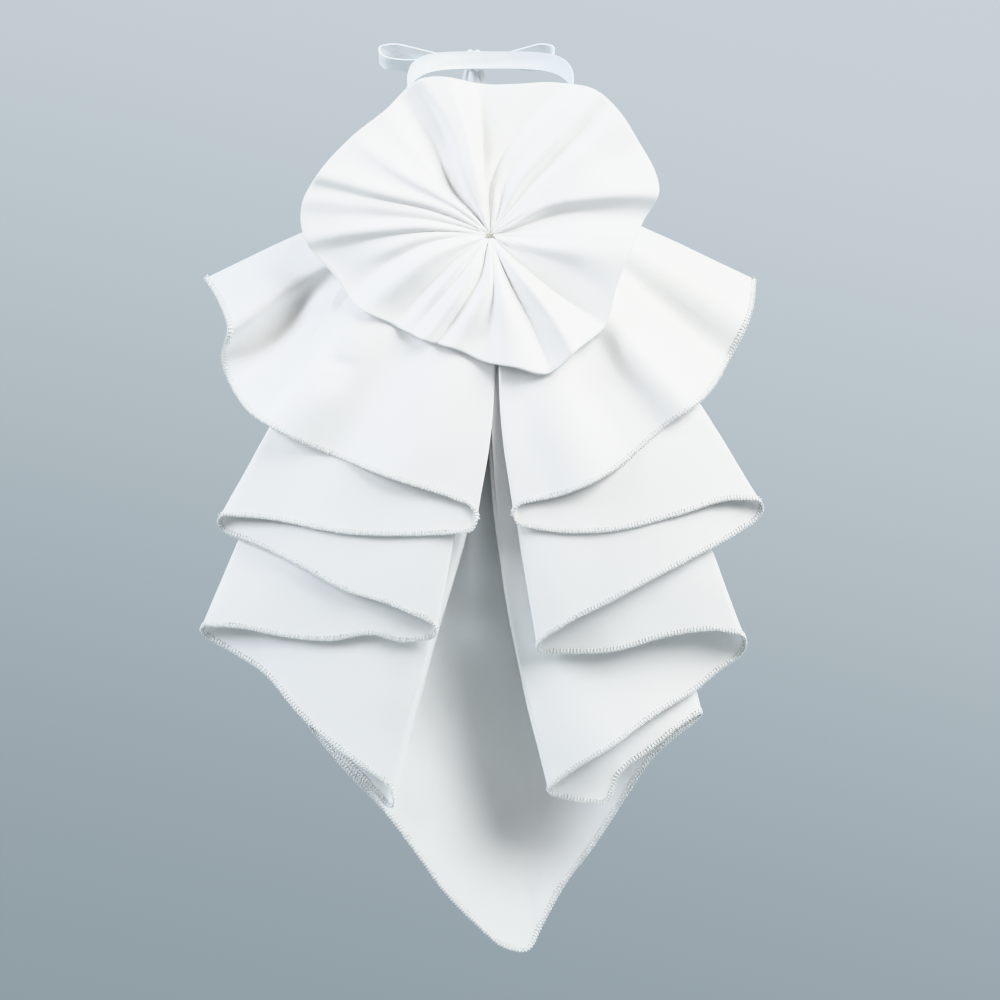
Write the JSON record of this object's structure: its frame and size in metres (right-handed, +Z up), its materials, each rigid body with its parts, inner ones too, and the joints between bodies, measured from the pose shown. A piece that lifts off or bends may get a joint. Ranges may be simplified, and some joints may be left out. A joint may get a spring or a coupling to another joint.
{
  "type": "detachable ruffled jabot collar",
  "caption": "Detachable satin collar: a gathered rosette over a folded cascade of ruffles with a long pointed back panel, on a neck ribbon tied in a bow at the nape",
  "frame": {"origin": "middle of the neck loop, where a neck's axis goes through it", "axes": "+Z up along the neck, +X to the viewer's right, -Y to the front where the rosette and ruffles hang"},
  "size_m": [0.3705, 0.231, 0.6159],
  "materials": {
    "satin": "white polyester satin",
    "ribbon": "white satin ribbon",
    "thread": "off-white sewing thread"
  },
  "bodies": {
    "root": {"ruffle_cascade": "satin", "rosette": "satin", "rosette_stitch": "thread", "neck_ribbon": "ribbon", "bow_knot": "ribbon", "bow_loop_left": "ribbon", "bow_loop_right": "ribbon", "bow_tail_left": "ribbon", "bow_tail_right": "ribbon"}
  },
  "joints": []
}
